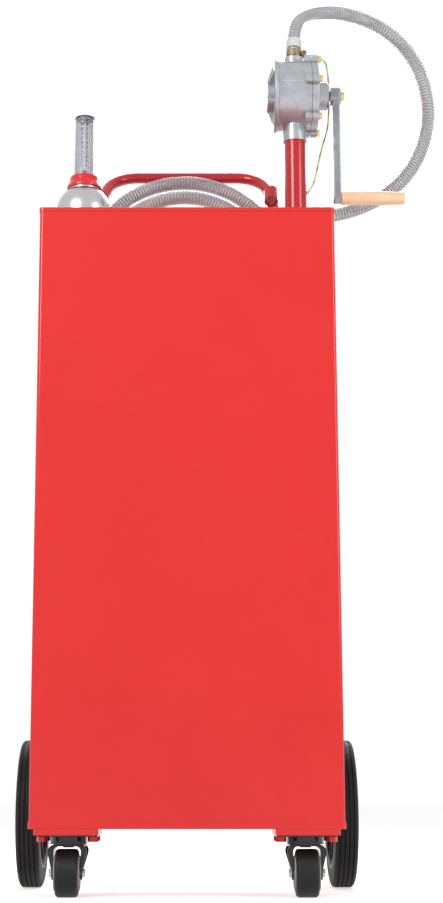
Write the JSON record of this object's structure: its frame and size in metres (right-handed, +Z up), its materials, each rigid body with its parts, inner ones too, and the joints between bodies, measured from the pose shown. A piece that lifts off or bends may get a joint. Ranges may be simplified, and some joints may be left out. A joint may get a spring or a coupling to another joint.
{
  "type": "wheeled fuel caddy",
  "caption": "Tall wheeled steel fuel tank with a hand-cranked rotary pump on a riser, a float gauge on a domed filler, a push handle, swivel casters and a looped delivery hose.",
  "frame": {"origin": "on the ground, under the middle of the caddy's bounding box without the hose, the nozzle and the earth wire", "axes": "+X towards the crank's side, +Y from the tank's broad front to the handle and the fixed wheels, +Z up"},
  "size_m": [0.7785, 0.472, 1.619],
  "materials": {
    "red_paint": "gloss powder coat",
    "black_paint": "gloss",
    "polished_metal": "polished",
    "cast_aluminium": "cast, satin",
    "zinc_steel": "zinc plated",
    "brass": "satin",
    "black_rubber": "satin",
    "caster_rubber": "satin",
    "tyre_rubber": "matte",
    "black_plastic": "matte",
    "red_plastic": "gloss",
    "grey_plastic": "satin",
    "white_plastic": "matte",
    "clear_plastic": "clear, slightly hazed",
    "clear_hose": "clear PVC with a steel wire helix",
    "grip_wood": "varnished",
    "wire_plastic": "yellow and green insulation"
  },
  "bodies": {
    "caddy": {"tank_wrap": "red_paint", "tank_lid": "red_paint", "tank_floor": "red_paint", "base_rim": "red_paint", "filler_dome": "polished_metal", "filler_screws": "zinc_steel", "riser_pipe": "red_paint", "suction_pipe": "zinc_steel", "suction_strainer": "zinc_steel", "pump_body": "cast_aluminium", "pump_seals": "black_rubber", "pump_cover": "cast_aluminium", "pump_bolts": "brass", "outlet_barb": "brass", "hose_clamp": "brass", "hose_sleeve": "white_plastic", "hose_loop": "clear_hose", "hose_coil": "clear_hose", "hose_hook_left": "red_paint", "hose_hook_right": "red_paint", "hook_bolts": "zinc_steel", "nozzle_ferrule": "zinc_steel", "nozzle_body": "cast_aluminium", "nozzle_spout": "polished_metal", "handle_bar": "red_paint", "nozzle_holder": "red_paint", "caster_bolts": "red_paint", "rear_axle": "polished_metal", "ground_wire": "wire_plastic", "caster_plate_left": "black_paint", "axle_bracket_left": "red_paint", "caster_plate_right": "black_paint", "axle_bracket_right": "red_paint"},
    "gauge": {"gauge_tube": "clear_plastic", "gauge_cap": "black_plastic", "gauge_stem": "zinc_steel", "gauge_guide": "zinc_steel"},
    "collar": {"gauge_collar": "red_paint"},
    "float": {"float_arm": "black_plastic"},
    "indicator": {"gauge_rod": "red_plastic"},
    "crank": {"pump_shaft": "zinc_steel", "pump_rotor": "cast_aluminium", "pump_vanes": "black_plastic", "crank_arm": "cast_aluminium", "crank_bolt": "brass", "grip_spindle": "zinc_steel"},
    "grip": {"crank_grip": "grip_wood"},
    "nozzle_trigger": {"nozzle_lever": "zinc_steel"},
    "caster_left": {"caster_fork_left": "black_paint", "caster_axle_left": "zinc_steel"},
    "caster_wheel_left": {"caster_tyre_left": "caster_rubber", "caster_hub_left": "grey_plastic"},
    "rear_wheel_left": {"rear_tyre_left": "tyre_rubber", "rear_hub_left": "black_plastic"},
    "caster_right": {"caster_fork_right": "black_paint", "caster_axle_right": "zinc_steel"},
    "caster_wheel_right": {"caster_tyre_right": "caster_rubber", "caster_hub_right": "grey_plastic"},
    "rear_wheel_right": {"rear_tyre_right": "tyre_rubber", "rear_hub_right": "black_plastic"}
  },
  "joints": [
    {"name": "rear_wheel_left_spin", "type": "hinge", "parent": "caddy", "child": "rear_wheel_left", "pos_m": [-0.3155, 0.109, 0.127], "axis": [1, 0, 0], "continuous": true},
    {"name": "caster_left_swivel", "type": "hinge", "parent": "caddy", "child": "caster_left", "pos_m": [-0.231, -0.163, 0.08], "axis": [0, 0, 1], "continuous": true},
    {"name": "caster_wheel_left_spin", "type": "hinge", "parent": "caster_left", "child": "caster_wheel_left", "pos_m": [-0.231, -0.191, 0.0375], "axis": [1, 0, 0], "continuous": true},
    {"name": "rear_wheel_right_spin", "type": "hinge", "parent": "caddy", "child": "rear_wheel_right", "pos_m": [0.2335, 0.109, 0.127], "axis": [1, 0, 0], "continuous": true},
    {"name": "caster_right_swivel", "type": "hinge", "parent": "caddy", "child": "caster_right", "pos_m": [0.149, -0.163, 0.08], "axis": [0, 0, 1], "continuous": true},
    {"name": "caster_wheel_right_spin", "type": "hinge", "parent": "caster_right", "child": "caster_wheel_right", "pos_m": [0.149, -0.191, 0.0375], "axis": [1, 0, 0], "continuous": true},
    {"name": "crank_turn", "type": "hinge", "parent": "caddy", "child": "crank", "pos_m": [0.152, -0.106, 1.3885], "axis": [1, 0, 0], "continuous": true},
    {"name": "grip_spin", "type": "hinge", "parent": "crank", "child": "grip", "pos_m": [0.289, -0.106, 1.1955], "axis": [1, 0, 0], "continuous": true},
    {"name": "gauge_lift", "type": "slide", "parent": "caddy", "child": "gauge", "axis": [0, 0, 1], "range_m": [0, 0.014]},
    {"name": "collar_turn", "type": "hinge", "parent": "gauge", "child": "collar", "pos_m": [-0.2235, -0.106, 1.225], "axis": [0, 0, 1], "continuous": true},
    {"name": "float_swing", "type": "hinge", "parent": "gauge", "child": "float", "pos_m": [-0.2655, -0.141, 0.61916], "axis": [0, -1, 0], "range_deg": [0, 150]},
    {"name": "indicator_rise", "type": "slide", "parent": "gauge", "child": "indicator", "axis": [0, 0, 1], "range_m": [0, 0.08124]},
    {"name": "nozzle_squeeze", "type": "hinge", "parent": "caddy", "child": "nozzle_trigger", "pos_m": [-0.26388, 0.064, 0.96262], "axis": [0, 1, 0], "range_deg": [0, 8], "stiffness_Nm_per_rad": 2, "springref_deg": -5.73}
  ],
  "couplings": [
    {"joint": "indicator_rise", "follows": "float_swing", "m_per_rad": 0.030992}
  ]
}
